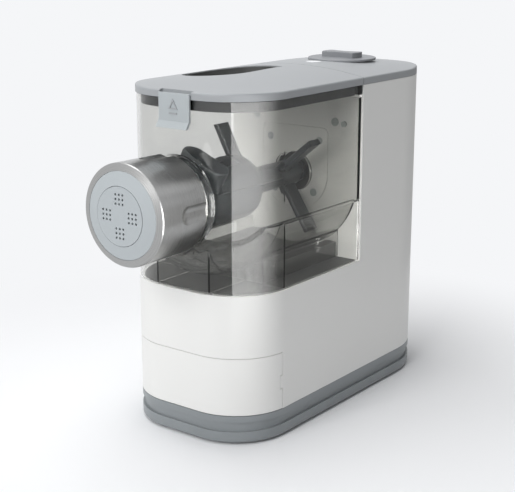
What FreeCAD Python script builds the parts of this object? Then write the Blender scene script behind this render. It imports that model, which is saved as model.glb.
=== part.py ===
import FreeCAD, Part
import math
import os

# Electric pasta maker, in millimetres.
# +Z is up, the outlet nut faces -Y and +X is right as seen from the front.
# The origin is the bottom centre of the whole machine.
V = FreeCAD.Vector

# Overall body
body_width = 135.0
body_front = -115.0
body_rear = 175.0
corner_radius = 48.0
wall = 2.6
seam = 0.4
lid_gap = 0.7
half_width = body_width / 2
rear_centre = body_rear - half_width

# Levels, from the table up
foot_drop = 1.5
pan_top = 24.0
drawer_top = 71.0
shelf_top = 121.5
shelf_round = 0.7
lid_bottom = 269.2
lid_edge = 275.0
crown_rise = 6.8
crown_centre = (body_front + body_rear) / 2
crown_half_length = (body_rear - body_front) / 2

# Where the tower starts, and the shaft that turns the paddle
tower_front = 40.0
shaft_z = 190.8

# Base
groove_low = 10.8
groove_high = 18.8
groove_depth = 2.0
pan_wall = 3.0
pan_floor = 3.0
pan_edge = 2.5
foot_radius = 9.0
foot_height = 3.5
foot_clearance = 0.1
foot_x = 44.0
foot_rows = (-82.0, 118.0)
screw_radius = 1.6
screw_head_radius = 3.2
screw_head_height = 1.6
screw_x = 56.0
screw_rows = (-45.0, 35.0, 100.0)
post_radius = 4.2
post_height = 12.0

# Drawer
drawer_side = -70.0
drawer_notch_low = 41.0
drawer_notch_high = 52.5
drawer_notch = 3.0
tray_half_width = 48.0
tray_rear = 16.0
tray_wall = 1.8
tray_floor = 30.0
tray_top = 64.0
bay_clearance = 0.8
bay_wall = 1.6

# Mixing chamber
chamber_inset = 0.8
chamber_wall = 2.2
trough_wall = 1.5
ledge_wall = 1.3
chamber_rear = 38.0
chamber_lift = 0.3
trough_radius = 62.3
ledge_z = 174.0
bowl_radius = 32.0
cross_rib_y = -66.0
front_rib_x = (-23.0, 28.0)
side_rib_x = 44.3
rib_wall = 1.6
boss_x = 29.0
boss_y = -54.0
boss_radius = 4.0
outlet_hole = 30.0

# Dark saddle on the shelf, under the trough
saddle_half = 43.0
saddle_top = 135.0
saddle_front = boss_y + boss_radius + 4
saddle_clearance = 1.0

# Lid
lid_wall = 2.4
hook_inner = 60.5
hook_outer = 66.6
hook_depth = 3.6
lid_round = 1.5
seal_gap = 1.5
seal_wall = 2.6
seal_bottom = 261.0
latch_half_width = 15.0
latch_thickness = 2.6
latch_bottom = 247.5
latch_lip_z = 252.5
latch_pin_z = 271.0
latch_pin_y = body_front + 1.8
latch_pin_radius = 0.8
latch_knuckle = 1.6
latch_pin_reach = 2.0

# Outlet
nut_face = -175.2
nut_rear = -124.2
nut_radius = 38.7
nut_rear_radius = 38.0
nut_bevel = 1.4
nut_bore = 34.2
thread_clearance = 0.1
plate_radius = 32.9
plate_cone = 2.6
disc_radius = 22.4
disc_gap = 0.35
disc_front = -178.0
disc_thickness = 5.0
disc_hole_radius = 0.95
disc_hole_pitch = 3.45
disc_group_radius = 12.6
scoop_width = 15.0
scoop_depth = 2.4
scoop_length = 34.0
tube_bore = 20.0
tube_flange_radius = 32.6
collar_radius = 36.4
collar_length = 8.0
screw_clearance = 0.6

# Paddle
drum_radius = 26.0
drum_front = -110.5
drum_rear = -32.0
drum_wall = 3.5
paddle_shaft_radius = 11.5
paddle_rear = 34.0
blade_tip = 53.5
blade_width = 15.0
blade_thickness = 5.0
lobe_reach = 10.0
lobe_round = 10.0
lobe_tip = 36.0
lobe_y = -99.5
rib_reach = 31.0
rib_half = 5.0
rib_angle = 22.0

# Drive
coupling_hole = 17.0
drive_shaft_radius = 5.0
coupling_flats = 6.4
coupling_clearance = 0.3
plate_top = 230.0
plate_round = 32.5
plate_thickness = 1.6
plate_corner = 5.0
gear_module = 1.25
output_teeth = 52
small_teeth = 13
idler_module = 1.0
idler_teeth = 56
motor_teeth = 12
centre_clearance = 0.15
gear_y = 62.0
gear_width = 12.0
case_front = tower_front + wall + 0.4
case_wall = 2.4
case_depth = 40.0
motor_radius = 31.0
motor_length = 62.0
motor_wall = 1.6
motor_shaft_radius = 2.5

# Knob
knob_y = 110.0
knob_radius = 30.0
knob_disc_bottom = 280.4
knob_disc_top = 282.2
knob_top = 287.0
knob_bar_half = 17.8
knob_bar_width = 16.0
knob_waist = 4.0
knob_shaft_radius = 3.0
lens_y = 66.0
lens_radius = 6.5
lens_rise = 0.35


def box(x0, x1, y0, y1, z0, z1):
    return Part.makeBox(x1 - x0, y1 - y0, z1 - z0, V(x0, y0, z0))


def tube(radius, bore, start, length, axis=V(0, 1, 0)):
    solid = Part.makeCylinder(radius, length, start, axis)
    if bore > 0:
        solid = solid.cut(Part.makeCylinder(bore, length, start, axis))
    return solid


def on_shaft(radius, bore, y0, y1):
    return tube(radius, bore, V(0, y0, shaft_z), y1 - y0)


def upright(radius, bore, x, y, z0, z1):
    return tube(radius, bore, V(x, y, z0), z1 - z0, V(0, 0, 1))


def revolved(points, centre=V(0, 0, shaft_z)):
    # The points are (y, radius) pairs, turned about the shaft line
    wire = Part.makePolygon([V(r, y, 0) for y, r in points + points[:1]])
    solid = Part.Face(wire).revolve(V(0, 0, 0), V(0, 1, 0), 360)
    solid.translate(centre)
    return solid


def body_prism(inset, z0, z1):
    # The plan of the machine: flat front, round front corners, half round rear
    x = half_width - inset
    y = body_front + inset
    r = corner_radius - inset
    d = r * math.sqrt(0.5)
    left = V(-x + r, y + r, z0)
    right = V(x - r, y + r, z0)
    edges = [
        Part.LineSegment(V(-x + r, y, z0), V(x - r, y, z0)),
        Part.Arc(V(x - r, y, z0), right + V(d, -d, 0), V(x, y + r, z0)),
        Part.LineSegment(V(x, y + r, z0), V(x, rear_centre, z0)),
        Part.Arc(V(x, rear_centre, z0), V(0, rear_centre + x, z0), V(-x, rear_centre, z0)),
        Part.LineSegment(V(-x, rear_centre, z0), V(-x, y + r, z0)),
        Part.Arc(V(-x, y + r, z0), left + V(-d, -d, 0), V(-x + r, y, z0)),
    ]
    wire = Part.Wire([edge.toShape() for edge in edges])
    return Part.Face(wire).extrude(V(0, 0, z1 - z0))


def front_part(solid, y):
    return solid.common(box(-100, 100, -200, y, -10, 400))


def rear_part(solid, y):
    return solid.common(box(-100, 100, y, 300, -10, 400))


def crown_height(x, y):
    across = 1 - (x / half_width) ** 2
    along = 1 - ((y - crown_centre) / crown_half_length) ** 2
    return lid_edge + crown_rise * across * along


def above_crown(drop):
    # Everything over the crowned top, lowered by drop
    grid = []
    for i in range(13):
        x = -72 + 12 * i
        grid.append([V(x, y, crown_height(x, y) - drop) for y in range(-124, 188, 13)])
    surface = Part.BSplineSurface()
    surface.interpolate(grid)
    return surface.toShape().extrude(V(0, 0, 60))


def hexagon(flats, y0, y1):
    corner = flats / math.cos(math.pi / 6)
    points = []
    for i in range(7):
        a = math.pi / 3 * i
        points.append(V(corner * math.cos(a), y0, shaft_z + corner * math.sin(a)))
    return Part.Face(Part.makePolygon(points)).extrude(V(0, y1 - y0, 0))


def gear(module, teeth, bore, y0, width, x, z, phase):
    # Teeth taper from root to tip and leave some backlash at the pitch circle
    pitch = module * teeth / 2
    root = pitch - 1.25 * module
    tip = pitch + 0.9 * module
    step = 2 * math.pi / teeth
    points = []
    for i in range(teeth):
        a = phase + i * step
        for r, share in ((root, -0.28), (tip, -0.12), (tip, 0.12), (root, 0.28)):
            b = a + share * step
            points.append(V(x + r * math.cos(b), y0, z + r * math.sin(b)))
    wire = Part.makePolygon(points + points[:1])
    solid = Part.Face(wire).extrude(V(0, width, 0))
    return solid.cut(tube(bore, 0, V(x, y0, z), width))


def save(name, shape):
    solids = shape.Solids
    if not solids:
        raise ValueError(name + " has no solid")
    made = solids[0] if len(solids) == 1 else Part.makeCompound(solids)
    made.exportStep("parts/" + name + ".step")


def group(shapes):
    return Part.makeCompound(shapes)


os.makedirs("parts", exist_ok=True)

# Base pan: a tub with a groove round its side
pan = body_prism(0, foot_drop, pan_top)
low_edges = []
for edge in pan.Edges:
    if edge.BoundBox.ZMax < foot_drop + 0.01:
        low_edges.append(edge)
pan = pan.makeFillet(pan_edge, low_edges)
groove = body_prism(-5, groove_low, groove_high).cut(body_prism(groove_depth, groove_low, groove_high))
pan = pan.cut(groove)
pan = pan.cut(body_prism(pan_wall, foot_drop + pan_floor, pan_top))
feet = []
for foot_y in foot_rows:
    for side in (-1, 1):
        x = side * foot_x
        feet.append(upright(foot_radius, 0, x, foot_y, 0, foot_height))
        pan = pan.fuse(upright(foot_radius + 2, 0, x, foot_y, foot_drop, foot_height + 2))
        pan = pan.cut(upright(foot_radius + foot_clearance, 0, x, foot_y, 0, foot_height))
base_screws = []
screw_posts = []
for side in (-1, 1):
    for y in screw_rows:
        x = side * screw_x
        pan = pan.fuse(upright(5, 0, x, y, foot_drop + pan_floor - 1, pan_top - 4))
        pan = pan.cut(upright(screw_radius, 0, x, y, 0, pan_top))
        pan = pan.cut(upright(screw_head_radius + 0.4, 0, x, y, 0, foot_drop + 4))
        head = upright(screw_head_radius, 0, x, y, foot_drop + 2.4, foot_drop + 4)
        base_screws.append(head.fuse(upright(screw_radius, 0, x, y, foot_drop + 4, pan_top + 4)))
        post = upright(post_radius, 0, x, y, pan_top - 4, pan_top + post_height)
        web_end = side * (half_width - wall / 2)
        web = box(min(x, web_end), max(x, web_end), y - 1, y + 1, pan_top + 0.2, pan_top + post_height)
        hole = upright(screw_radius, 0, x, y, pan_top - 4, pan_top + post_height)
        screw_posts.append(post.fuse(web).cut(hole))
for i in range(9):
    y = 60 + 7 * i
    pan = pan.cut(box(-22, 22, y, y + 3, 0, foot_drop + pan_floor + 1))
save("base_pan", pan)
save("rubber_feet", group(feet))
save("base_screws", group(base_screws))

# Main housing: one white shell, low in front with the tower behind
outer = body_prism(0, pan_top + 0.2, shelf_top)
shelf_edges = []
for edge in outer.Edges:
    if edge.BoundBox.ZMin > shelf_top - 0.01:
        shelf_edges.append(edge)
outer = outer.makeFillet(shelf_round, shelf_edges)
outer = outer.fuse(rear_part(body_prism(0, pan_top + 0.2, lid_bottom - 0.2), tower_front))
inner = body_prism(wall, pan_top, shelf_top - wall)
inner = inner.fuse(rear_part(body_prism(wall, pan_top, lid_bottom + 5), tower_front + wall))
housing = outer.cut(inner)
for post in screw_posts:
    housing = housing.fuse(post)
opening = box(-90, 90, -130, drawer_side + seam, pan_top - 1, drawer_top + seam)
tabs = box(-90, 90, drawer_side - drawer_notch + seam, drawer_side + 1,
           drawer_notch_low + seam, drawer_notch_high - seam)
housing = housing.cut(opening.cut(tabs))


def drive_plate_solid(grow, y0, y1):
    # Square shoulders with small corners above, half round below
    half = plate_round + grow
    top = plate_top + grow
    corner = plate_corner + grow
    block = box(-half, half, y0, y1, shaft_z, top)
    for side in (-1, 1):
        x = side * (half - corner)
        square = box(min(x, side * half), max(x, side * half), y0, y1, top - corner, top)
        block = block.cut(square.cut(tube(corner, 0, V(x, y0, top - corner), y1 - y0)))
    return block.fuse(tube(half, 0, V(0, y0, shaft_z), y1 - y0)).removeSplitter()


plate_recess = drive_plate_solid(seam, tower_front - 1, tower_front + plate_thickness)
housing = housing.cut(plate_recess)
housing = housing.cut(on_shaft(coupling_hole + 5, 0, tower_front - 1, tower_front + wall + 1))
plunger_x = 48.7
plunger_z = 235.6
plunger_radius = 2.4
housing = housing.cut(tube(plunger_radius + 0.2, 0, V(plunger_x, tower_front - 1, plunger_z), wall + 2))
plug_x = 39.5
plug_z = 236.5
plug_radius = 3.5
for side in (-1, 1):
    housing = housing.cut(tube(plug_radius, 0, V(side * plug_x, tower_front - 1, plug_z), wall + 2))
vent_rows = 7
for i in range(vent_rows):
    z = 84 + 8 * i
    housing = housing.cut(box(-30, 30, rear_centre, body_rear + 5, z, z + 3))
gland_z = 46.0
gland_radius = 7.0
housing = housing.cut(tube(gland_radius, 0, V(0, body_rear - 8, gland_z), 20))
save("main_housing", housing)

# Dark floor plate that the chamber stands on, inset from the shelf's edge, with the saddle on it
shelf_plate_top = shelf_top + 0.8
shelf_inset = chamber_inset + chamber_wall + 1.2
shelf_plate = front_part(body_prism(shelf_inset, shelf_top, shelf_plate_top), chamber_rear - 1)
saddle = box(-saddle_half, saddle_half, saddle_front, chamber_rear - 1, shelf_top, saddle_top)
trough_room = trough_radius + trough_wall + saddle_clearance
saddle = saddle.cut(on_shaft(trough_room, 0, saddle_front - 1, chamber_rear))
save("shelf_plate", shelf_plate.fuse(saddle).removeSplitter())

# Plugs in the tower wall
plugs = []
for side in (-1, 1):
    plug = tube(plug_radius, 0, V(side * plug_x, tower_front - 0.4, plug_z), wall + 0.4)
    plugs.append(plug)
save("wall_plugs", group(plugs))

# Drive plate with its four screws
plate = drive_plate_solid(0, tower_front, tower_front + plate_thickness)
plate = plate.cut(on_shaft(coupling_hole, 0, tower_front - 1, tower_front + wall))
plate_screws = []
for x, z in ((-24.0, 219.0), (24.0, 219.0), (-18.5, 174.0), (18.5, 174.0)):
    plate = plate.cut(tube(3.3, 0, V(x, tower_front - 1, z), 5))
    plate_screws.append(tube(3.3, 0, V(x, tower_front - 0.3, z), plate_thickness + 0.3))
save("drive_plate", plate)
save("plate_screws", group(plate_screws))

# Rear top cover, crowned with the lid
crowned = body_prism(0, lid_bottom, lid_edge + crown_rise + 1).cut(above_crown(0))
rim_edges = []
for edge in crowned.Edges:
    if edge.BoundBox.ZMin > lid_edge - 0.1:
        rim_edges.append(edge)
crowned = crowned.makeFillet(lid_round, rim_edges)
cover = rear_part(crowned, tower_front)
cover_hollow = rear_part(body_prism(wall + 0.5, lid_bottom - 1, 300), tower_front + wall)
cover = cover.cut(cover_hollow.cut(above_crown(lid_wall)))
cover = cover.cut(upright(knob_radius + 0.5, 0, 0, knob_y, knob_disc_bottom - 0.3, 300))
cover = cover.cut(upright(knob_shaft_radius + 0.1, 0, 0, knob_y, 250, 300))
cover = cover.cut(upright(lens_radius + 0.05, 0, 0, lens_y, 250, 300))
save("rear_cover", cover)
lens = upright(lens_radius, 0, 0, lens_y, 274, 300).cut(above_crown(-lens_rise))
save("indicator_lens", lens)

# Knob with a waisted grip bar
knob = upright(knob_radius, 0, 0, knob_y, knob_disc_bottom, knob_disc_top)
disc_edges = []
for edge in knob.Edges:
    if edge.BoundBox.ZMin > knob_disc_top - 0.01:
        disc_edges.append(edge)
knob = knob.makeFillet(0.9, disc_edges)
bar = box(-knob_bar_half, knob_bar_half, knob_y - knob_bar_width / 2, knob_y + knob_bar_width / 2,
          knob_disc_top - 0.5, knob_top)
waist_radius = (knob_bar_half ** 2 + knob_waist ** 2) / (2 * knob_waist)
for side in (-1, 1):
    waist_y = knob_y + side * (knob_bar_width / 2 - knob_waist + waist_radius + 1.2)
    bar = bar.cut(upright(waist_radius, 0, 0, waist_y, knob_disc_top - 1, knob_top + 1))
bar = bar.common(upright(knob_bar_half, 0, 0, knob_y, knob_disc_top - 1, knob_top + 1))
bar_edges = []
for edge in bar.Edges:
    if edge.BoundBox.ZMin > knob_top - 0.01:
        bar_edges.append(edge)
bar = bar.makeFillet(0.8, bar_edges)
save("control_knob", knob.fuse(bar))
knob_shaft = upright(knob_shaft_radius, 0, 0, knob_y, 262, knob_disc_bottom)
save("knob_shaft", knob_shaft)
switch_body = box(-16, 16, knob_y - 16, knob_y + 16, 246, 260)
save("mode_switch", switch_body)
switch_bush = upright(6, knob_shaft_radius + 0.05, 0, knob_y, 260.2, 271)
save("switch_bush", switch_bush)

# Drawer front, tray and the bay it runs in
front_ring = body_prism(0, pan_top + 0.6, drawer_top).cut(body_prism(wall, pan_top, drawer_top + 1))
front_ring = front_part(front_ring, drawer_side)
notch = box(-90, 90, drawer_side - drawer_notch, drawer_side + 1, drawer_notch_low, drawer_notch_high)
save("drawer_front", front_ring.cut(notch))
tray_front = body_front + wall
tray = box(-tray_half_width, tray_half_width, tray_front, tray_rear, tray_floor - tray_wall, tray_top)
tray = tray.common(body_prism(wall, 0, 100))
cavity = box(-tray_half_width + tray_wall, tray_half_width - tray_wall, tray_front + tray_wall,
             tray_rear - tray_wall, tray_floor, tray_top + 1)
cavity = cavity.common(body_prism(wall + tray_wall, 0, 100))
save("drawer_tray", tray.cut(cavity))
bay_out = tray_half_width + bay_clearance + bay_wall
bay_in = tray_half_width + bay_clearance
bay_low = tray_floor - tray_wall - bay_clearance
bay = box(-bay_out, bay_out, drawer_side + 4, tray_rear + bay_clearance + bay_wall,
          bay_low - bay_wall, tray_top + bay_clearance + bay_wall)
bay = bay.cut(box(-bay_in, bay_in, drawer_side, tray_rear + bay_clearance, bay_low, tray_top + bay_clearance))
save("drawer_bay", bay)


def pierced_disc(slotted):
    # A round plate lying along Y, pierced with four groups of holes or of slots
    disc = tube(disc_radius - disc_gap, 0, V(0, 0, 0), disc_thickness)
    for turn in range(4):
        a = math.pi / 2 * turn
        for i in (-1, 0, 1):
            if slotted:
                slot = box(8, 18, -1, disc_thickness + 1, i * 4 - 0.6, i * 4 + 0.6)
                slot.rotate(V(0, 0, 0), V(0, 1, 0), 90 * turn)
                disc = disc.cut(slot)
                continue
            for j in (-1, 0, 1):
                x = disc_group_radius * math.cos(a) + i * disc_hole_pitch
                z = disc_group_radius * math.sin(a) + j * disc_hole_pitch
                disc = disc.cut(tube(disc_hole_radius, 0, V(x, -1, z), disc_thickness + 2))
    return disc


spare_discs = []
for side in (-1, 1):
    spare = pierced_disc(True)
    spare.rotate(V(0, 0, 0), V(1, 0, 0), 90)
    spare.translate(V(side * (disc_radius + 1), -62, tray_floor))
    spare_discs.append(spare)
save("spare_discs", group(spare_discs))

# Mixing chamber: clear outer skirt, round trough with a bowl at the front
skirt_low = shelf_top + chamber_lift
skirt_high = lid_bottom - 0.5
rib_low = shelf_plate_top + chamber_lift
skirt = body_prism(chamber_inset, skirt_low, skirt_high)
skirt_inner = body_prism(chamber_inset + chamber_wall, skirt_low - 1, skirt_high + 1)
skirt_ring = front_part(skirt.cut(skirt_inner), chamber_rear)
trough_front = body_front + chamber_inset + chamber_wall


def bowl(radius, edge, front, rear):
    # Straight trough that rounds in towards the outlet like a bowl
    points = [(rear, 0), (rear, radius), (front + edge, radius)]
    for i in range(1, 9):
        a = math.pi / 2 * i / 9
        points.append((front + edge - edge * math.sin(a), radius - edge + edge * math.cos(a)))
    points.append((front, radius - edge))
    points.append((front, 0))
    return revolved(points)


bowl_outer = bowl(trough_radius + trough_wall, bowl_radius, trough_front - chamber_wall, chamber_rear)
bowl_inner = bowl(trough_radius, bowl_radius - trough_wall, trough_front, chamber_rear - chamber_wall)
bowl_inner = bowl_inner.common(skirt_inner)
below = box(-100, 100, -200, 100, 0, ledge_z)
inside = body_prism(chamber_inset + 0.01, skirt_low, skirt_high)
trough = bowl_outer.common(below).common(inside)
ledge = front_part(body_prism(chamber_inset + 0.5, ledge_z - ledge_wall, ledge_z), chamber_rear)
rear_wall = box(-90, 90, chamber_rear - chamber_wall, chamber_rear, ledge_z - 1, seal_bottom - 2)
rear_wall = rear_wall.common(inside)
cross_rib = box(-90, 90, cross_rib_y - rib_wall / 2, cross_rib_y + rib_wall / 2, rib_low, ledge_z - 1)
ribs = [cross_rib]
for x in front_rib_x:
    ribs.append(box(x - rib_wall / 2, x + rib_wall / 2, body_front, cross_rib_y, rib_low, ledge_z - 1))
for side in (-1, 1):
    x = side * side_rib_x
    ribs.append(box(x - rib_wall / 2, x + rib_wall / 2, cross_rib_y, chamber_rear, rib_low, ledge_z - 1))
collar_front = body_front + chamber_inset - collar_length
collar = on_shaft(collar_radius, tube_flange_radius + 0.2, collar_front, body_front + chamber_inset + 0.5)
chamber = skirt_ring.fuse(trough).fuse(ledge).fuse(rear_wall).fuse(collar)
for rib in ribs:
    chamber = chamber.fuse(rib.common(inside))
chamber = chamber.cut(bowl_inner)
chamber = chamber.cut(on_shaft(outlet_hole + 0.2, 0, body_front - 5, trough_front + 3))
chamber = chamber.cut(on_shaft(coupling_hole, 0, chamber_rear - 5, chamber_rear + 5))
column = upright(boss_radius, 0, boss_x, boss_y, rib_low, 140).cut(bowl_inner)
chamber = chamber.fuse(column).cut(upright(1.5, 0, boss_x, boss_y, rib_low, rib_low + 6))

# Dark hooks at the rear corners of the chamber's rim, set into its walls
lugs = []
for side in (-1, 1):
    x0 = hook_inner if side > 0 else -hook_outer
    lug = box(x0, x0 + hook_outer - hook_inner, chamber_rear - hook_depth, tower_front - lid_gap,
              seal_bottom + 0.5, skirt_high)
    lugs.append(lug)
    chamber = chamber.cut(lug)
save("lid_hooks", group(lugs))
save("mixing_chamber", chamber.removeSplitter())

# Extrusion tube through the chamber's front wall
flange_front = collar_front + 1.0
thread_rear = nut_rear + 1.5
nozzle_front = disc_front + disc_thickness + 2.0
extrusion_tube = revolved([
    (trough_front, tube_bore), (trough_front, outlet_hole),
    (body_front + chamber_inset, outlet_hole), (body_front + chamber_inset, tube_flange_radius),
    (flange_front, tube_flange_radius), (flange_front, outlet_hole), (thread_rear, outlet_hole),
    (thread_rear, nut_bore - thread_clearance),
    (nozzle_front, nut_bore - thread_clearance), (nozzle_front, tube_bore),
])
ring_groove = on_shaft(nut_bore, nut_bore - 2.2, nozzle_front + 8, nozzle_front + 10)
extrusion_tube = extrusion_tube.cut(ring_groove)
save("extrusion_tube", extrusion_tube)
seal_ring = on_shaft(nut_bore - thread_clearance - 0.2, nut_bore - 2.2, nozzle_front + 8, nozzle_front + 10)
save("tube_seal", seal_ring)

# Shaping disc and the light ring round it
disc = pierced_disc(False)
disc.translate(V(0, disc_front, shaft_z))
plate_rear = disc_front + disc_thickness
flange_ring = on_shaft(tube_bore + 6, disc_radius - disc_gap - 0.1, disc_front + 3.6, plate_rear)
save("shaping_disc", disc.fuse(flange_ring))
end_plate = revolved([
    (plate_rear, disc_radius), (disc_front + 0.2, disc_radius), (disc_front + plate_cone, plate_radius - 0.4),
    (disc_front + plate_cone + 0.4, plate_radius), (plate_rear, plate_radius),
])
end_plate = end_plate.cut(on_shaft(tube_bore + 6.1, 0, disc_front + 3.5, plate_rear + 1))
save("end_plate", end_plate)

# Ring nut with four scooped finger grips
nut = revolved([
    (nut_face, plate_radius + 0.1), (nut_face + nut_bevel, nut_radius - 0.6),
    (nut_face + nut_bevel + 0.6, nut_radius), (nut_rear - 1, nut_rear_radius),
    (nut_rear, nut_rear_radius - 1), (nut_rear, nut_bore),
    (plate_rear, nut_bore), (plate_rear, plate_radius + 0.1),
])
scoop_radius = ((scoop_width / 2) ** 2 + scoop_depth ** 2) / (2 * scoop_depth)
for turn in range(4):
    a = math.pi / 2 * turn
    reach = nut_rear_radius - scoop_depth + scoop_radius
    scoop = tube(scoop_radius, 0, V(0, nut_rear - scoop_length + scoop_radius, 0), scoop_length)
    ball = Part.makeSphere(scoop_radius, V(0, nut_rear - scoop_length + scoop_radius, 0))
    scoop = scoop.fuse(ball)
    scoop.translate(V(reach * math.cos(a), 0, shaft_z + reach * math.sin(a)))
    nut = nut.cut(scoop)
save("ring_nut", nut)

# Paddle: a hollow drum, its shaft and four blades
shoulder = 13.0
drum_points = [(drum_front, 0), (drum_front, drum_radius), (drum_rear - shoulder, drum_radius)]
for i in range(1, 7):
    a = math.pi / 2 * i / 6
    run = paddle_shaft_radius + (drum_radius - paddle_shaft_radius) * math.cos(a)
    drum_points.append((drum_rear - shoulder + shoulder * math.sin(a), run))
drum_points += [(paddle_rear - 1, paddle_shaft_radius - 1), (paddle_rear, paddle_shaft_radius - 2),
                (paddle_rear, 0)]
paddle = revolved(drum_points)


def blade(angle, y_base, y_tip, tip, thickness, width, start):
    # A flat bar from the shaft out to the tip, with a rounded end
    a = math.radians(angle)
    points = []
    for r, y, side in ((start, y_base, -1), (tip, y_tip, -1), (tip, y_tip, 1), (start, y_base, 1)):
        points.append(V(r, y + side * width / 2, -thickness / 2))
    bar = Part.Face(Part.makePolygon(points + points[:1])).extrude(V(0, 0, thickness))
    long_edges = []
    for edge in bar.Edges:
        if abs(edge.Vertexes[0].X - edge.Vertexes[1].X) > 1:
            long_edges.append(edge)
    bar = bar.makeFillet(thickness * 0.35, long_edges)
    bar.rotate(V(0, 0, 0), V(0, 1, 0), -math.degrees(a))
    bar.translate(V(0, 0, shaft_z))
    return bar


blades = [
    blade(105, -36, -45, 51.7, blade_thickness, blade_width, 20),
    blade(39, 8, 8, 52, blade_thickness, blade_width, 5),
    blade(-57, 20, 20, blade_tip, blade_thickness, blade_width, 5),
]
for one in blades:
    paddle = paddle.fuse(one)
lobe_root = 18.0
lobe = box(-lobe_reach, lobe_reach, -lobe_round, lobe_round, lobe_root, lobe_tip)
for side in (-1, 1):
    lobe = lobe.fuse(upright(lobe_round, 0, side * lobe_reach, 0, lobe_root, lobe_tip))
lobe =lobe.removeSplitter()
tip_edges = []
for edge in lobe.Edges:
    if edge.BoundBox.ZMin > lobe_tip - 0.01:
        tip_edges.append(edge)
lobe = lobe.makeFillet(1.5, tip_edges)
lobe.rotate(V(0, 0, 0), V(0, 0, 1), 10)
lobe.rotate(V(0, 0, 0), V(0, 1, 0), 28)
lobe.translate(V(0, lobe_y, shaft_z))
# Its front edge stays clear of the bowl and the round corners as it turns
lobe = lobe.common(revolved([(-111.2, 0), (-111.2, 26), (-110.3, 30), (-108.4, 36), (-105.8, 41.5),
                             (-80, 41.5), (-80, 0)]))
paddle = paddle.fuse(lobe)
rib = box(0, rib_reach, drum_front + 14, 5, -rib_half, rib_half)
rib.rotate(V(0, 0, 0), V(0, 1, 0), -rib_angle)
rib.translate(V(0, 0, shaft_z))
rib = rib.common(revolved([(drum_front, 0), (drum_front, rib_reach), (drum_rear - 20, rib_reach),
                           (6, paddle_shaft_radius + 1.5), (6, 0)]))
paddle = paddle.fuse(rib)
drum_bore = drum_radius - drum_wall
paddle = paddle.cut(on_shaft(drum_bore, 0, drum_front - 1, drum_rear - shoulder - 4))
window = box(-17, 14, -92, -54, shaft_z + 10, shaft_z + 40)
paddle = paddle.cut(window.cut(lobe))
paddle = paddle.cut(hexagon(coupling_flats + coupling_clearance, paddle_rear - 22, paddle_rear + 1))
save("mixing_paddle", paddle.removeSplitter())

# Extrusion screw, fixed in the drum
core = 8.0
screw_front = plate_rear + 4.0
screw_rear = drum_rear - shoulder - 4
screw = on_shaft(core, 0, screw_front, screw_rear)
flights = 5
flight_pitch = (body_front - 3 - screw_front) / flights
flight_radius = tube_bore - screw_clearance
for i in range(flights):
    for half in (0, 1):
        y = screw_front + flight_pitch * (i + half / 2)
        disc = Part.makeCylinder(flight_radius + 3, 3.0, V(0, 0, -1.5), V(0, 0, 1))
        tilt = 14 if half == 0 else -14
        disc.rotate(V(0, 0, 0), V(1, 0, 0), 90)
        disc.rotate(V(0, 0, 0), V(0, 0, 1), tilt)
        disc = disc.common(box(-40, 0, -30, 30, -40, 40) if half else box(0, 40, -30, 30, -40, 40))
        disc.translate(V(0, y + 5, shaft_z))
        screw = screw.fuse(disc)
screw = screw.common(on_shaft(flight_radius, 0, screw_front, screw_rear))
save("extrusion_screw", screw)

# Lid, its dark seal band, water funnel and latch
lid = front_part(crowned, tower_front - lid_gap)
lid_hollow = front_part(body_prism(chamber_inset + chamber_wall + seal_gap, lid_bottom - 1, 300),
                        chamber_rear - 2.5)
lid = lid.cut(lid_hollow.cut(above_crown(lid_wall)))


def leaf(shrink, z0, z1):
    # Water opening: pointed at both ends, bowed towards the right
    rear_tip = V(3 - shrink, 17 - 2 * shrink, z0)
    front_tip = V(-54 + 2 * shrink, -45, z0)
    near = Part.BSplineCurve()
    near.interpolate([rear_tip, V(1.5 - shrink, -14, z0), V(-2.5 - shrink, -38, z0),
                      V(-18, -54 + shrink, z0), front_tip])
    far = Part.BSplineCurve()
    far.interpolate([front_tip, V(-52 + shrink, -24, z0), V(-41 + shrink, 2, z0),
                     V(-22, 15 - shrink, z0), rear_tip])
    wire = Part.Wire([near.toShape(), far.toShape()])
    return Part.Face(wire).extrude(V(0, 0, z1 - z0))


funnel_wall = 1.4
lid = lid.cut(leaf(0, 250, 300))
recess_half = latch_half_width + 0.5
latch_recess = box(-recess_half, recess_half, body_front - 5, latch_pin_y + latch_knuckle + 0.3, 260, 300)
lid = lid.cut(latch_recess)
pin_half = recess_half + latch_pin_reach
pin = tube(latch_pin_radius, 0, V(-pin_half, latch_pin_y, latch_pin_z), 2 * pin_half, V(1, 0, 0))
lid = lid.cut(pin)
save("lid", lid)
funnel = leaf(0.15, 266.5, 300).cut(above_crown(0.8))
funnel = funnel.cut(leaf(0.15 + funnel_wall, 268, 300))
funnel = funnel.cut(box(-30, -22, -36, 2, 260, 300))
save("water_funnel", funnel)
seal_out = chamber_inset + chamber_wall + seal_gap
band = front_part(body_prism(seal_out, seal_bottom, lid_bottom + 2), chamber_rear - 2.5)
band = band.cut(front_part(body_prism(seal_out + seal_wall, 0, 300), chamber_rear - 2.5 - seal_wall))
lid_rim = lid.common(box(-100, 100, -200, 100, lid_bottom - 1, lid_bottom + 3))
band = band.cut(lid_rim)
for piece in lugs:
    grown = piece.BoundBox
    band = band.cut(box(grown.XMin - 1, grown.XMax + 1, grown.YMin - 2.5, grown.YMax + 1, 200, 300))
save("lid_seal", band)

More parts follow.
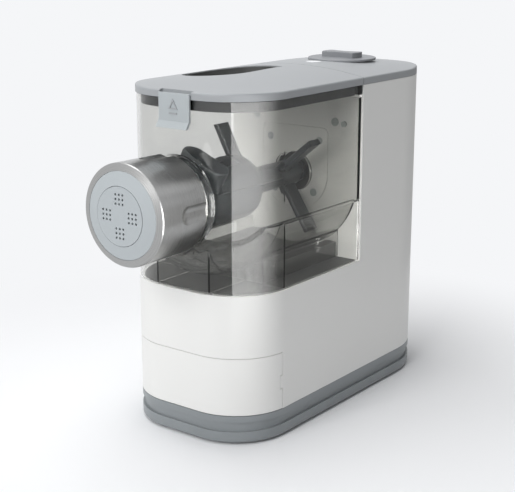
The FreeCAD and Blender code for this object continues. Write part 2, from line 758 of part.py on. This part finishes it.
latch_y = body_front - latch_thickness
latch = box(-latch_half_width, latch_half_width, latch_y, body_front - 0.3, latch_lip_z, latch_pin_z + 2.4)
lip = Part.Face(Part.makePolygon([
    V(-latch_half_width, latch_y, latch_lip_z), V(-latch_half_width, latch_y - 3.2, latch_bottom),
    V(-latch_half_width, latch_y - 0.8, latch_bottom), V(-latch_half_width, body_front - 0.3, latch_lip_z),
    V(-latch_half_width, latch_y, latch_lip_z)])).extrude(V(2 * latch_half_width, 0, 0))
knuckle = box(-latch_half_width, latch_half_width, latch_y, latch_pin_y, latch_pin_z - latch_knuckle,
              latch_pin_z + latch_knuckle)
roll_start = V(-latch_half_width, latch_pin_y, latch_pin_z)
roll = tube(latch_knuckle, 0, roll_start, 2 * latch_half_width, V(1, 0, 0))
knuckle = knuckle.fuse(roll)
latch = latch.fuse(lip).fuse(knuckle).removeSplitter()
side_edges = []
for edge in latch.Edges:
    bound = edge.BoundBox
    if bound.XLength < 0.01 and bound.YMax < latch_y + 0.01 and bound.ZMin > latch_lip_z - 0.1:
        side_edges.append(edge)
latch = latch.makeFillet(1.2, side_edges)
pin_hole = tube(latch_pin_radius + 0.05, 0, V(-50, latch_pin_y, latch_pin_z), 100, V(1, 0, 0))
latch = latch.cut(pin_hole)
save("lid_latch", latch)
save("latch_pin", pin)

# Drive train: output gear and coupling on the shaft line, reduction gear and motor below
output_pitch = gear_module * output_teeth / 2
small_pitch = gear_module * small_teeth / 2
idler_z = shaft_z - output_pitch - small_pitch - centre_clearance
idler_pitch = idler_module * idler_teeth / 2
motor_pitch = idler_module * motor_teeth / 2
motor_z = idler_z - idler_pitch - motor_pitch - centre_clearance
up = math.pi / 2
output_gear = gear(gear_module, output_teeth, drive_shaft_radius, gear_y, gear_width, 0, shaft_z, -up)
save("output_gear", output_gear)
shaft_rear = case_front + case_depth - 2
drive_shaft = on_shaft(drive_shaft_radius, 0, tower_front + 8, shaft_rear)
save("drive_shaft", drive_shaft)
coupling = on_shaft(8.6, 0, tower_front + 1, tower_front + 8)
coupling = coupling.fuse(hexagon(coupling_flats, paddle_rear - 16, tower_front + 2))
save("drive_coupling", coupling)
bushes = [on_shaft(8, drive_shaft_radius + 0.03, case_front + 6, gear_y - 1),
          on_shaft(8, drive_shaft_radius + 0.03, gear_y + gear_width + 1, shaft_rear)]
save("shaft_bushes", group(bushes))
seal_y = tower_front + plate_thickness
shaft_seal = on_shaft(coupling_hole + 4.5, 9.2, seal_y, case_front)
save("shaft_seal", shaft_seal)
layshaft_radius = 3.0
small_gear_y = gear_y
idler_gear_y = gear_y + gear_width + 2
tooth_step = math.pi / small_teeth
small_gear = gear(gear_module, small_teeth, layshaft_radius + 0.04, small_gear_y, gear_width + 2, 0, idler_z,
                  up + tooth_step)
big_idler = gear(idler_module, idler_teeth, layshaft_radius + 0.04, idler_gear_y, 7.0, 0, idler_z, -up)
save("reduction_gear", small_gear.fuse(big_idler))
layshaft = tube(layshaft_radius, 0, V(0, case_front + case_wall, idler_z), case_depth - 2 * case_wall)
save("layshaft", layshaft)
motor_pinion_y = idler_gear_y - 1
motor_pinion = gear(idler_module, motor_teeth, motor_shaft_radius, motor_pinion_y, 7.6, 0, motor_z,
                    up + math.pi / motor_teeth)
save("motor_pinion", motor_pinion)

# Gearbox case in two halves, open towards the coupling and the motor shaft
case_rear = case_front + case_depth


def case_outline(grow, y0, y1):
    upper = tube(output_pitch + 4 + grow, 0, V(0, y0, shaft_z), y1 - y0)
    lower = tube(motor_pitch + 9 + grow, 0, V(0, y0, motor_z), y1 - y0)
    middle = tube(idler_pitch + 4 + grow, 0, V(0, y0, idler_z), y1 - y0)
    return upper.fuse(middle).fuse(lower).removeSplitter()


case_split = case_front + 28
outer_case = case_outline(case_wall, case_front, case_rear)
inner_case = case_outline(0, case_front + case_wall, case_rear - case_wall)
case = outer_case.cut(inner_case)
for y0, y1 in ((case_front + case_wall, gear_y - 1), (gear_y + gear_width + 1, case_rear - case_wall)):
    case = case.fuse(on_shaft(10.5, 0, y0, y1))
case = case.cut(on_shaft(8, 0, case_front + 6, case_rear - 2))
case = case.cut(on_shaft(9.4, 0, case_front - 1, case_front + 6))
case = case.cut(tube(idler_pitch + 2, 0, V(0, idler_gear_y - 1, idler_z), 9))
case = case.cut(tube(7.2, 0, V(0, case_rear - 10, motor_z), 20))
case_screws = []
ear_radius = 4.0
upper_ear = output_pitch + 4 + case_wall + 2
lower_ear = idler_pitch + 4 + case_wall + 2
for side in (-1, 1):
    for x, z in ((upper_ear * math.cos(math.pi / 6), shaft_z + upper_ear / 2), (lower_ear, idler_z)):
        ear = tube(ear_radius, 0, V(side * x, case_front, z), case_depth)
        case = case.fuse(ear.cut(inner_case))
        start = V(side * x, case_front + 2, z)
        case = case.cut(tube(screw_radius, 0, start, case_depth))
        head = tube(screw_head_radius, 0, V(side * x, case_rear, z), screw_head_height)
        case_screws.append(tube(screw_radius, 0, start, case_depth - 2).fuse(head))
case_box_front = box(-100, 100, 0, case_split, 50, 300)
gearbox_case = case.common(case_box_front)
gearbox_cover = case.cut(case_box_front)
save("gearbox_case", gearbox_case)
save("gearbox_cover", gearbox_cover)
save("case_screws", group(case_screws))

# Motor: steel can with magnets, armature, commutator, brushes and fan
can_front = case_rear + 3.0
can_rear = can_front + motor_length


def on_motor(radius, bore, y0, y1):
    return tube(radius, bore, V(0, y0, motor_z), y1 - y0)


save("motor_flange", on_motor(motor_radius, 6.0, case_rear, can_front))
save("motor_can", on_motor(motor_radius, motor_radius - motor_wall, can_front, can_rear))
magnets = on_motor(motor_radius - motor_wall, 21, can_front + 8, can_front + 40)
magnets = magnets.cut(box(-50, 50, 0, 200, motor_z - 5, motor_z + 5))
save("field_magnets", magnets)
armature = on_motor(20, motor_shaft_radius, can_front + 8, can_front + 40)
for i in range(8):
    slot = box(13, 22, can_front, can_front + 50, -1.2, 1.2)
    slot.rotate(V(0, 0, 0), V(0, 1, 0), 45 * i)
    slot.translate(V(0, 0, motor_z))
    armature = armature.cut(slot)
save("armature", armature)
save("motor_shaft", on_motor(motor_shaft_radius, 0, motor_pinion_y, can_rear + 12))
save("commutator", on_motor(9, motor_shaft_radius, can_front + 42, can_front + 54))
brushes = []
for side in (-1, 1):
    x0 = 9.2 if side > 0 else -24
    brushes.append(box(x0, x0 + 14.8, can_front + 45, can_front + 51, motor_z - 3, motor_z + 3))
save("carbon_brushes", group(brushes))
rear_bell = on_motor(motor_radius, motor_shaft_radius + 0.05, can_rear, can_rear + 3)
save("motor_rear_plate", rear_bell)
fan = on_motor(5, motor_shaft_radius, can_rear + 4, can_rear + 11)
for i in range(9):
    vane = box(4, 20, can_rear + 4.5, can_rear + 10.5, -0.8, 0.8)
    vane.rotate(V(0, 0, 0), V(0, 1, 0), 40 * i)
    vane.translate(V(0, 0, motor_z))
    fan = fan.fuse(vane)
save("cooling_fan", fan.removeSplitter())
cradle = box(-24, 24, can_front + 12, can_front + 40, foot_drop + pan_floor, motor_z)
cradle = cradle.cut(on_motor(motor_radius, 0, can_front, can_rear))
cradle = cradle.cut(box(-18, 18, 0, 200, 12, 66))
save("motor_cradle", cradle)

# Electronics and inlet
board_z = 208.0
board = box(-34, 34, case_rear + 14, case_rear + 56, board_z, board_z + 1.6)
save("control_board", board)
parts_on_board = [
    box(-28, -8, case_rear + 20, case_rear + 34, board_z + 1.6, board_z + 16),
    box(0, 14, case_rear + 20, case_rear + 40, board_z + 1.6, board_z + 13),
    upright(6, 0, 25, case_rear + 28, board_z + 1.6, board_z + 20),
    upright(5, 0, -16, case_rear + 46, board_z + 1.6, board_z + 12),
]
save("board_components", group(parts_on_board))
standoffs = []
for side in (-1, 1):
    standoffs.append(box(side * 30 - 3, side * 30 + 3, case_rear + 1, case_rear + 56, board_z - 6, board_z))
save("board_rails", group(standoffs))
plunger_travel = 2.0
plunger_front = chamber_rear + 0.4
plunger = tube(plunger_radius, 0, V(plunger_x, plunger_front, plunger_z), 16)
save("interlock_plunger", plunger)
switch_y = plunger_front + 16 + plunger_travel + 0.3
interlock = box(plunger_x - 7, plunger_x + 7, switch_y, switch_y + 9, plunger_z - 11, plunger_z + 9)
save("interlock_switch", interlock)
gland = tube(gland_radius, 3.6, V(0, body_rear - 12, gland_z), 20)
gland = gland.common(body_prism(0, 0, 200))
collar = tube(gland_radius + 2.4, 3.6, V(0, body_rear - 12, gland_z), 2)
gland = gland.fuse(collar)
save("cord_gland", gland)
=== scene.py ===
import math

import bmesh
import bpy
from mathutils import Matrix, Vector


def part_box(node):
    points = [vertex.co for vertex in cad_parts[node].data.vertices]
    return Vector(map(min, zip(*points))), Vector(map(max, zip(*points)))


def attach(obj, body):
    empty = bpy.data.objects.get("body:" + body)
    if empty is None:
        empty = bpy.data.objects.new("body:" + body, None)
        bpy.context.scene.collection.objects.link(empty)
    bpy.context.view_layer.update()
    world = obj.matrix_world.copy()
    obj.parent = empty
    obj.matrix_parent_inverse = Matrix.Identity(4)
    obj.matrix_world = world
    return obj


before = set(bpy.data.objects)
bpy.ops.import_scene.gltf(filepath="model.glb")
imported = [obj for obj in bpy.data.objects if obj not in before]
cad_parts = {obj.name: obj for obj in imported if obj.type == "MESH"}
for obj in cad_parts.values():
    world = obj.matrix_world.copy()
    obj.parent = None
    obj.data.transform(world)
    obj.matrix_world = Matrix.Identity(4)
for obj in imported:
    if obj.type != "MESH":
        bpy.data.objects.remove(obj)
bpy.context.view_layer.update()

# Camera
# A long lens from the front right, a little above the lid, as a product photographer sets it.
# Its place is in metres, its lens and film in millimetres.
camera_place = Vector((0.57966, -0.77744, 0.38734))
camera_turn = math.radians(37.2)
camera_drop = math.radians(14.77)
lens_length = 82.72
film_width = 36
camera_data = bpy.data.cameras.new("camera")
camera_data.lens = lens_length
camera_data.sensor_width = film_width
camera = bpy.data.objects.new("camera", camera_data)
bpy.context.scene.collection.objects.link(camera)
camera.matrix_world = (Matrix.Translation(camera_place) @ Matrix.Rotation(camera_turn, 4, "Z")
                       @ Matrix.Rotation(math.pi / 2 - camera_drop, 4, "X"))
bpy.context.scene.camera = camera
bpy.context.scene.view_settings.view_transform = "Standard"


# Studio table
# A matt laminate table under the machine, white enough to run into the backdrop behind it.
# Its near part takes the machine's soft shadow, and it fades into plain backdrop further out.
def linear(hexcode):
    # sRGB hex to the linear colour that a shader socket takes
    channels = []
    for i in (0, 2, 4):
        c = int(hexcode[i:i + 2], 16) / 255
        channels.append(c / 12.92 if c <= 0.04045 else ((c + 0.055) / 1.055) ** 2.4)
    return (*channels, 1.0)


def add(tree, kind, settings=None, links=None):
    # One node with its settings, and links into its inputs from other nodes' outputs
    node = tree.nodes.new(kind)
    for name, value in (settings or {}).items():
        if name in node.inputs and not hasattr(node, name):
            node.inputs[name].default_value = value
        else:
            setattr(node, name, value)
    for name, source in (links or {}).items():
        tree.links.new(source, node.inputs[name])
    return node


def new_tree(name):
    material = bpy.data.materials.new(name)
    material.use_nodes = True
    material.node_tree.nodes.clear()
    return material, material.node_tree


def seen_straight(tree):
    # 1 for a ray from the camera, through the clear chamber or off a shiny face, and 0 for the rest
    path = add(tree, "ShaderNodeLightPath")
    direct = add(tree, "ShaderNodeMath", {"operation": "MAXIMUM"},
                 {0: path.outputs["Is Camera Ray"], 1: path.outputs["Is Transmission Ray"]})
    seen = add(tree, "ShaderNodeMath", {"operation": "MAXIMUM"},
               {0: direct.outputs[0], 1: path.outputs["Is Glossy Ray"]})
    return seen.outputs[0]


backdrop_hex = "F5F6F8"
fade_start = 0.20
fade_end = 0.44
table_half_width = 6.0
table_material, tree = new_tree("table_laminate")
place = add(tree, "ShaderNodeTexCoord")
reach = add(tree, "ShaderNodeVectorMath", {"operation": "LENGTH"}, {0: place.outputs["Object"]})
fade = add(tree, "ShaderNodeMapRange",
           {"interpolation_type": "SMOOTHSTEP", "From Min": fade_start, "From Max": fade_end},
           {"Value": reach.outputs["Value"]})
laminate = add(tree, "ShaderNodeBsdfPrincipled", {"Base Color": linear("F4F5F7"), "Roughness": 0.9,
                                                  "Specular IOR Level": 0.0})
backdrop = add(tree, "ShaderNodeEmission", {"Color": linear(backdrop_hex), "Strength": 1.0})
far_part = add(tree, "ShaderNodeMixShader", None,
               {"Fac": fade.outputs["Result"], 1: laminate.outputs[0], 2: backdrop.outputs[0]})
table_look = add(tree, "ShaderNodeMixShader", None,
                 {"Fac": seen_straight(tree), 1: laminate.outputs[0], 2: far_part.outputs[0]})
add(tree, "ShaderNodeOutputMaterial", None, {"Surface": table_look.outputs[0]})
table_mesh = bmesh.new()
bmesh.ops.create_grid(table_mesh, x_segments=1, y_segments=1, size=table_half_width)
table_data = bpy.data.meshes.new("table")
table_mesh.to_mesh(table_data)
table_mesh.free()
table = bpy.data.objects.new("table", table_data)
bpy.context.scene.collection.objects.link(table)
table_data.materials.append(table_material)

# Studio light
# A pale room with two soft boxes, one in front of the machine and a larger one above it. The room
# lights the machine weakly, and is seen as the same plain backdrop that the table fades into.
room_strength = 0.27
world = bpy.data.worlds.new("studio")
bpy.context.scene.world = world
world.use_nodes = True
tree = world.node_tree
tree.nodes.clear()
room = add(tree, "ShaderNodeBackground", {"Color": linear("FFFFFF"), "Strength": room_strength})
behind = add(tree, "ShaderNodeBackground", {"Color": linear(backdrop_hex), "Strength": 1.0})
look = add(tree, "ShaderNodeMixShader", None,
           {"Fac": seen_straight(tree), 1: room.outputs[0], 2: behind.outputs[0]})
add(tree, "ShaderNodeOutputWorld", None, {"Surface": look.outputs[0]})


def soft_box(name, place, aim, width, height, watts):
    lamp = bpy.data.lights.new(name, "AREA")
    lamp.shape = "RECTANGLE"
    lamp.size = width
    lamp.size_y = height
    lamp.energy = watts
    holder = bpy.data.objects.new(name, lamp)
    bpy.context.scene.collection.objects.link(holder)
    turn = (Vector(aim) - Vector(place)).to_track_quat("-Z", "Y").to_matrix().to_4x4()
    holder.matrix_world = Matrix.Translation(place) @ turn


soft_box("key_front", place=(0.05, -1.45, 0.80), aim=(0, 0, 0.14), width=0.9, height=0.9, watts=12.5)
soft_box("top_box", place=(-0.25, -0.1, 1.5), aim=(0, 0, 0.2), width=1.3, height=1.3, watts=16)


# Reflection card
# A bowed white card at the front right that only shows in gloss: it draws the long upright
# highlight on the chamber's round corner. Its left edge is sharp and it dims towards the right.
def show_in_gloss(tree, path, glow):
    # Rays off a shiny face meet the glow, and all others pass through
    nothing = add(tree, "ShaderNodeBsdfTransparent")
    look = add(tree, "ShaderNodeMixShader", None,
               {"Fac": path.outputs["Is Glossy Ray"], 1: nothing.outputs[0], 2: glow.outputs[0]})
    add(tree, "ShaderNodeOutputMaterial", None, {"Surface": look.outputs[0]})


def hang_unseen(name, mesh, material):
    # An object of the studio that the camera doesn't see, that casts no shadow and that sheds no
    # light on matt faces
    data = bpy.data.meshes.new(name)
    mesh.to_mesh(data)
    mesh.free()
    data.materials.append(material)
    holder = bpy.data.objects.new(name, data)
    bpy.context.scene.collection.objects.link(holder)
    holder.visible_camera = False
    holder.visible_shadow = False
    holder.visible_diffuse = False
    return holder


card_centre = Vector((0.0195, -0.067, 0.0))
card_reach = 0.40
card_height = 0.26
card_start = math.radians(30)
card_end = math.radians(134)
card_steps = 24
card_bright = 7.5
card_dim = 0.4
dimming_start = 0.42
dimming_end = 0.61
card = bmesh.new()
card_edge = card_centre + card_reach * Vector((math.sin(card_start), -math.cos(card_start), 0.0))
foot = card.verts.new(card_edge)
top = card.verts.new(card_edge + Vector((0, 0, card_height)))
side = card.edges.new((foot, top))
bmesh.ops.spin(card, geom=[side, foot, top], cent=card_centre, axis=(0, 0, 1), steps=card_steps,
               angle=card_end - card_start)
card_material, tree = new_tree("reflection_card")
path = add(tree, "ShaderNodeLightPath")
place = add(tree, "ShaderNodeTexCoord")
centred = add(tree, "ShaderNodeMapping", {"Location": (-card_centre.x, -card_centre.y, 0)},
              {"Vector": place.outputs["Object"]})
# The gradient runs from 0 to 1 in a full turn round the card's centre
turn_share = add(tree, "ShaderNodeTexGradient", {"gradient_type": "RADIAL"}, {"Vector": centred.outputs[0]})
dimming = add(tree, "ShaderNodeMapRange",
              {"interpolation_type": "SMOOTHSTEP", "From Min": dimming_start, "From Max": dimming_end,
               "To Min": card_bright, "To Max": card_dim},
              {"Value": turn_share.outputs["Fac"]})
gloss_only = add(tree, "ShaderNodeMath", {"operation": "MULTIPLY"},
                 {0: dimming.outputs["Result"], 1: path.outputs["Is Glossy Ray"]})
glow = add(tree, "ShaderNodeEmission", None, {"Strength": gloss_only.outputs[0]})
show_in_gloss(tree, path, glow)
card_object = hang_unseen("reflection_card", card, card_material)

# Grey flags
# Matt grey cloths, one upright at the rear right and one low in front of the machine. They only
# show in gloss, and give the bright metal and the clear walls their darker edges.
flag_cloth, tree = new_tree("flag_cloth")
path = add(tree, "ShaderNodeLightPath")
cloth = add(tree, "ShaderNodeEmission", {"Color": linear("A0A0A0"), "Strength": 1.0})
show_in_gloss(tree, path, cloth)
flag_top = 0.42
low_flag_height = 0.004
rear_right_corners = [(0.33, 0.235, 0.0), (-0.12, 0.62, 0.0),
                      (-0.12, 0.62, flag_top), (0.33, 0.235, flag_top)]
low_corners = [(-0.10, -0.20, low_flag_height), (0.20, -0.20, low_flag_height),
               (0.26, -0.06, low_flag_height), (0.09, -0.06, low_flag_height)]
for name, corners in (("rear_right_flag", rear_right_corners), ("low_flag", low_corners)):
    flag = bmesh.new()
    flag.faces.new([flag.verts.new(corner) for corner in corners])
    holder = hang_unseen(name, flag, flag_cloth)


# White housing and drawer front
# Injection moulded white ABS with a fine satin finish, 2.6 mm thick. It looks soft and even:
# a broad weak sheen, and a surface ripple of a few thousandths of a millimetre from the mould.
def moulded(name, colour, roughness, mottle, grain_mm, bump_mm, coat=0.0):
    # Opaque moulded plastic: mottle is how far its colour drifts, grain_mm the spacing of its
    # texture and bump_mm the depth of it. Its roughness drifts a little with the colour.
    drift_scale = 14.0
    smoother, rougher = 0.9, 1.12
    material, tree = new_tree(name)
    place = add(tree, "ShaderNodeTexCoord")
    drift = add(tree, "ShaderNodeTexNoise", {"Scale": drift_scale, "Detail": 3.0},
                {"Vector": place.outputs["Object"]})
    grain = add(tree, "ShaderNodeTexNoise", {"Scale": 1000.0 / grain_mm, "Detail": 2.0},
                {"Vector": place.outputs["Object"]})
    base = linear(colour)
    low = [c * (1 - mottle) for c in base[:3]] + [1.0]
    tone = add(tree, "ShaderNodeMix", {"data_type": "RGBA"}, {"Factor": drift.outputs["Fac"]})
    # Sockets 6 and 7 are the node's two colours, and output 2 is their mix
    tone.inputs[6].default_value = low
    tone.inputs[7].default_value = base
    sheen = add(tree, "ShaderNodeMapRange",
                {"To Min": roughness * smoother, "To Max": roughness * rougher},
                {"Value": drift.outputs["Fac"]})
    ripple = add(tree, "ShaderNodeBump", {"Strength": 1.0, "Distance": bump_mm / 1000},
                 {"Height": grain.outputs["Fac"]})
    shell = add(tree, "ShaderNodeBsdfPrincipled",
                {"IOR": 1.5, "Coat Weight": coat, "Coat Roughness": 0.15},
                {"Base Color": tone.outputs[2], "Roughness": sheen.outputs["Result"],
                 "Normal": ripple.outputs[0]})
    add(tree, "ShaderNodeOutputMaterial", None, {"Surface": shell.outputs[0]})
    return material


def finish_nodes(nodes, material):
    # Gives CAD nodes their finish in place of the plain one they came with
    for node in nodes:
        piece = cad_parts[node]
        piece.data.materials.clear()
        piece.data.materials.append(material)


white_abs = moulded("white_satin_abs", "E8E8E6", roughness=0.36, mottle=0.012, grain_mm=0.9, bump_mm=0.004)
finish_nodes(["main_housing", "drawer_front", "drive_plate", "board_rails"], white_abs)

# Lid, rear cover and knob
# Grey ABS from a spark-eroded tool, so its skin is a fine even matt texture with a soft sheen.
# The knob is moulded in a darker grey of the same plastic.
grey_abs = moulded("grey_textured_abs", "9B9EA1", roughness=0.40, mottle=0.02, grain_mm=0.5, bump_mm=0.01)
finish_nodes(["lid", "rear_cover"], grey_abs)
knob_abs = moulded("dark_textured_abs", "84868A", roughness=0.42, mottle=0.02, grain_mm=0.5, bump_mm=0.01)
finish_nodes(["control_knob"], knob_abs)

# Base pan
# A tub of darker grey ABS with a groove round its side, in the same fine texture as the lid,
# and the bay behind the drawer.
base_abs = moulded("base_grey_abs", "8B9093", roughness=0.36, mottle=0.03, grain_mm=0.5, bump_mm=0.01)
finish_nodes(["base_pan", "drawer_bay"], base_abs)

# Latch, outlet plates, tray and plugs
# Pale blue-grey polypropylene, moulded with a dry satin skin: its highlights are broad and weak.
pale_pp = moulded("pale_blue_grey_pp", "AAB0B3", roughness=0.45, mottle=0.02, grain_mm=0.4, bump_mm=0.008)
finish_nodes(["lid_latch", "end_plate", "shaping_disc", "spare_discs", "drawer_tray",
              "interlock_plunger", "wall_plugs", "plate_screws"], pale_pp)

# Marks on the latch
# A triangle that points up and a bar under it, moulded 0.6 mm proud, to show which way the latch lifts. They
# are coloured in the lid's darker grey as painted shade, standing in for the shade along their raised sides.
latch_low, latch_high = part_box("lid_latch")
latch_middle = (latch_low[0] + latch_high[0]) / 2
latch_face = -0.1176
marks_height = 0.2605
mark_thickness = 0.0006
mark_line = 0.0011
triangle_radius = 0.0052
triangle_rise = 0.0035
bar_length = 0.0078
bar_drop = 0.0022
mark = bmesh.new()
bmesh.ops.create_circle(mark, cap_ends=True, segments=3, radius=triangle_radius)
rim = bmesh.ops.inset_region(mark, faces=mark.faces[:], thickness=mark_line, use_boundary=True,
                             use_even_offset=True)["faces"]
bmesh.ops.delete(mark, geom=[face for face in mark.faces if face not in rim], context="FACES_ONLY")
bmesh.ops.translate(mark, verts=mark.verts, vec=(0, triangle_rise, 0))
bar = bmesh.ops.create_grid(mark, x_segments=1, y_segments=1, size=0.5)
bmesh.ops.scale(mark, verts=bar["verts"], vec=(bar_length, mark_line, 1))
bmesh.ops.translate(mark, verts=bar["verts"], vec=(0, -bar_drop, 0))
raised = bmesh.ops.extrude_face_region(mark, geom=mark.faces[:])
raised_verts = [item for item in raised["geom"] if isinstance(item, bmesh.types.BMVert)]
bmesh.ops.translate(mark, verts=raised_verts, vec=(0, 0, mark_thickness))
bmesh.ops.rotate(mark, verts=mark.verts, cent=(0, 0, 0), matrix=Matrix.Rotation(math.pi / 2, 3, "X"))
bmesh.ops.translate(mark, verts=mark.verts, vec=(latch_middle, latch_face, marks_height))
bmesh.ops.recalc_face_normals(mark, faces=mark.faces)
mark_data = bpy.data.meshes.new("latch_marks")
mark.to_mesh(mark_data)
mark.free()
# The lid's darker grey on the marks is painted shade for their raised sides
mark_data.materials.append(grey_abs)
latch_marks = bpy.data.objects.new("latch_marks", mark_data)
bpy.context.scene.collection.objects.link(latch_marks)
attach(latch_marks, "latch")

# Paddle, screw, tube and coupling, with the drive's cases
# Dark grey moulded acetal, strong enough to push dough. It is slick but not shiny, so it keeps
# soft highlights along its edges.
dark_pom = moulded("dark_grey_acetal", "373B3D", roughness=0.33, mottle=0.03, grain_mm=0.8, bump_mm=0.012)
finish_nodes(["mixing_paddle", "extrusion_screw", "extrusion_tube", "drive_coupling", "lid_hooks",
              "gearbox_case", "gearbox_cover", "motor_cradle"], dark_pom)

# Shelf plate and funnel
# Near-black grey ABS, moulded, for the floor under the chamber and the well of the water opening. Its
# near-black is partly painted shade, standing in for the shade under the lid and down the well.
shadow_grey = moulded("shadow_grey_abs", "4C4D4C", roughness=0.45, mottle=0.03, grain_mm=0.6, bump_mm=0.01)
finish_nodes(["shelf_plate", "water_funnel"], shadow_grey)

# Seals, gland and feet
# Black silicone rubber, moulded and matt, with a slight bloom that makes its tone uneven.
seal_rubber = moulded("black_silicone", "242628", roughness=0.55, mottle=0.10, grain_mm=0.5, bump_mm=0.01)
finish_nodes(["lid_seal", "tube_seal", "shaft_seal", "cord_gland", "rubber_feet"], seal_rubber)

# Small black electrical parts
# Glass-filled nylon bodies of the switches, the fan, the brushes and the board's parts. The glass
# gives their skin a coarse dull grain.
black_nylon = moulded("black_glass_filled_nylon", "232425", roughness=0.5, mottle=0.15, grain_mm=0.4,
                      bump_mm=0.02)
finish_nodes(["mode_switch", "switch_bush", "interlock_switch", "cooling_fan", "carbon_brushes",
              "board_components"], black_nylon)

# Gears
# Natural acetal without any pigment, moulded, cream white and waxy.
natural_acetal = moulded("natural_acetal", "E4DFCF", roughness=0.35, mottle=0.03, grain_mm=1.0, bump_mm=0.01)
finish_nodes(["output_gear", "reduction_gear"], natural_acetal)

# Circuit board
# Glass epoxy under a coat of green solder resist, which gives it a thin gloss.
board_resist = moulded("green_solder_resist", "1F5A38", roughness=0.3, mottle=0.2, grain_mm=0.8, bump_mm=0.01,
                       coat=0.3)
finish_nodes(["control_board"], board_resist)

# Indicator lens
# Milky polycarbonate, moulded over a lamp that is off, so it is nearly white.
lens_pc = moulded("milky_polycarbonate", "F1F2F4", roughness=0.25, mottle=0.01, grain_mm=1.0, bump_mm=0.002)
finish_nodes(["indicator_lens"], lens_pc)


# Ring nut
# Stainless steel cap, pressed and then brushed round its axis, so that fine lines run round it
# and soften its highlights.
def brushed_metal(name, colour, roughness, line_mm, depth_mm, axis_height):
    # Metal worked round an axis that runs from front to rear at axis_height, in lines that are
    # line_mm apart and depth_mm deep
    smoother, rougher = 0.9, 1.1
    material, tree = new_tree(name)
    place = add(tree, "ShaderNodeTexCoord")
    moved = add(tree, "ShaderNodeMapping", {"Location": (0, 0, -axis_height)},
                {"Vector": place.outputs["Object"]})
    apart = add(tree, "ShaderNodeSeparateXYZ", None, {"Vector": moved.outputs[0]})
    flat = add(tree, "ShaderNodeCombineXYZ", None, {"X": apart.outputs["X"], "Y": apart.outputs["Z"]})
    radius = add(tree, "ShaderNodeVectorMath", {"operation": "LENGTH"}, {0: flat.outputs[0]})
    rings = add(tree, "ShaderNodeCombineXYZ", None, {"X": radius.outputs["Value"], "Y": apart.outputs["Y"]})
    lines = add(tree, "ShaderNodeTexNoise", {"Scale": 1000.0 / line_mm, "Detail": 2.0},
                {"Vector": rings.outputs[0]})
    ripple = add(tree, "ShaderNodeBump", {"Strength": 1.0, "Distance": depth_mm / 1000},
                 {"Height": lines.outputs["Fac"]})
    sheen = add(tree, "ShaderNodeMapRange",
                {"To Min": roughness * smoother, "To Max": roughness * rougher},
                {"Value": lines.outputs["Fac"]})
    metal = add(tree, "ShaderNodeBsdfPrincipled", {"Base Color": linear(colour), "Metallic": 1.0},
                {"Roughness": sheen.outputs["Result"], "Normal": ripple.outputs[0]})
    add(tree, "ShaderNodeOutputMaterial", None, {"Surface": metal.outputs[0]})
    return material


shaft_height = 0.1908
nut_steel = brushed_metal("brushed_stainless", "AAAAA9", roughness=0.28, line_mm=0.25, depth_mm=0.0006,
                          axis_height=shaft_height)
finish_nodes(["ring_nut"], nut_steel)

# Steel and bronze of the drive
# Turned shafts, screws and pins, the motor's zinc-plated can, sintered bronze bushes and the
# varnished iron of the motor's inside. Turning and plating leave the lines and the dull bloom.
motor_height = 0.1159
turned_steel = brushed_metal("turned_steel", "C4C4C2", roughness=0.25, line_mm=0.3, depth_mm=0.004,
                             axis_height=shaft_height)
finish_nodes(["base_screws", "case_screws", "drive_shaft", "knob_shaft", "latch_pin", "layshaft",
              "motor_shaft"], turned_steel)
zinc_steel = brushed_metal("zinc_plated_steel", "A9ABAC", roughness=0.38, line_mm=1.2, depth_mm=0.01,
                           axis_height=motor_height)
finish_nodes(["motor_can", "motor_flange", "motor_rear_plate"], zinc_steel)
bronze = brushed_metal("sintered_bronze", "B0814A", roughness=0.42, line_mm=0.6, depth_mm=0.01,
                       axis_height=shaft_height)
finish_nodes(["shaft_bushes", "motor_pinion", "commutator"], bronze)
iron = brushed_metal("varnished_iron", "5B5754", roughness=0.5, line_mm=0.5, depth_mm=0.02,
                     axis_height=motor_height)
finish_nodes(["armature", "field_magnets"], iron)

# Mixing chamber
# Clear copolyester with a grey smoke tint, moulded 2.2 mm thick and highly polished, so that it
# shows sharp reflections and darkens what stands behind it. Lamps shine through it.
smoke_tint = "E6E6E4"
lamp_tint = "FBFBFA"
# Below the plastic's own 1.57, because at that its round walls bend the view more than they should
chamber_index = 1.38
clear_material, tree = new_tree("smoked_clear_copolyester")
path = add(tree, "ShaderNodeLightPath")
glass = add(tree, "ShaderNodeBsdfPrincipled",
            {"Base Color": linear(smoke_tint), "Roughness": 0.0, "IOR": chamber_index,
             "Transmission Weight": 1.0})
through = add(tree, "ShaderNodeBsdfTransparent", {"Color": linear(lamp_tint)})
chamber_look = add(tree, "ShaderNodeMixShader", None,
                   {"Fac": path.outputs["Is Shadow Ray"], 1: glass.outputs[0], 2: through.outputs[0]})
add(tree, "ShaderNodeOutputMaterial", None, {"Surface": chamber_look.outputs[0]})
finish_nodes(["mixing_chamber"], clear_material)
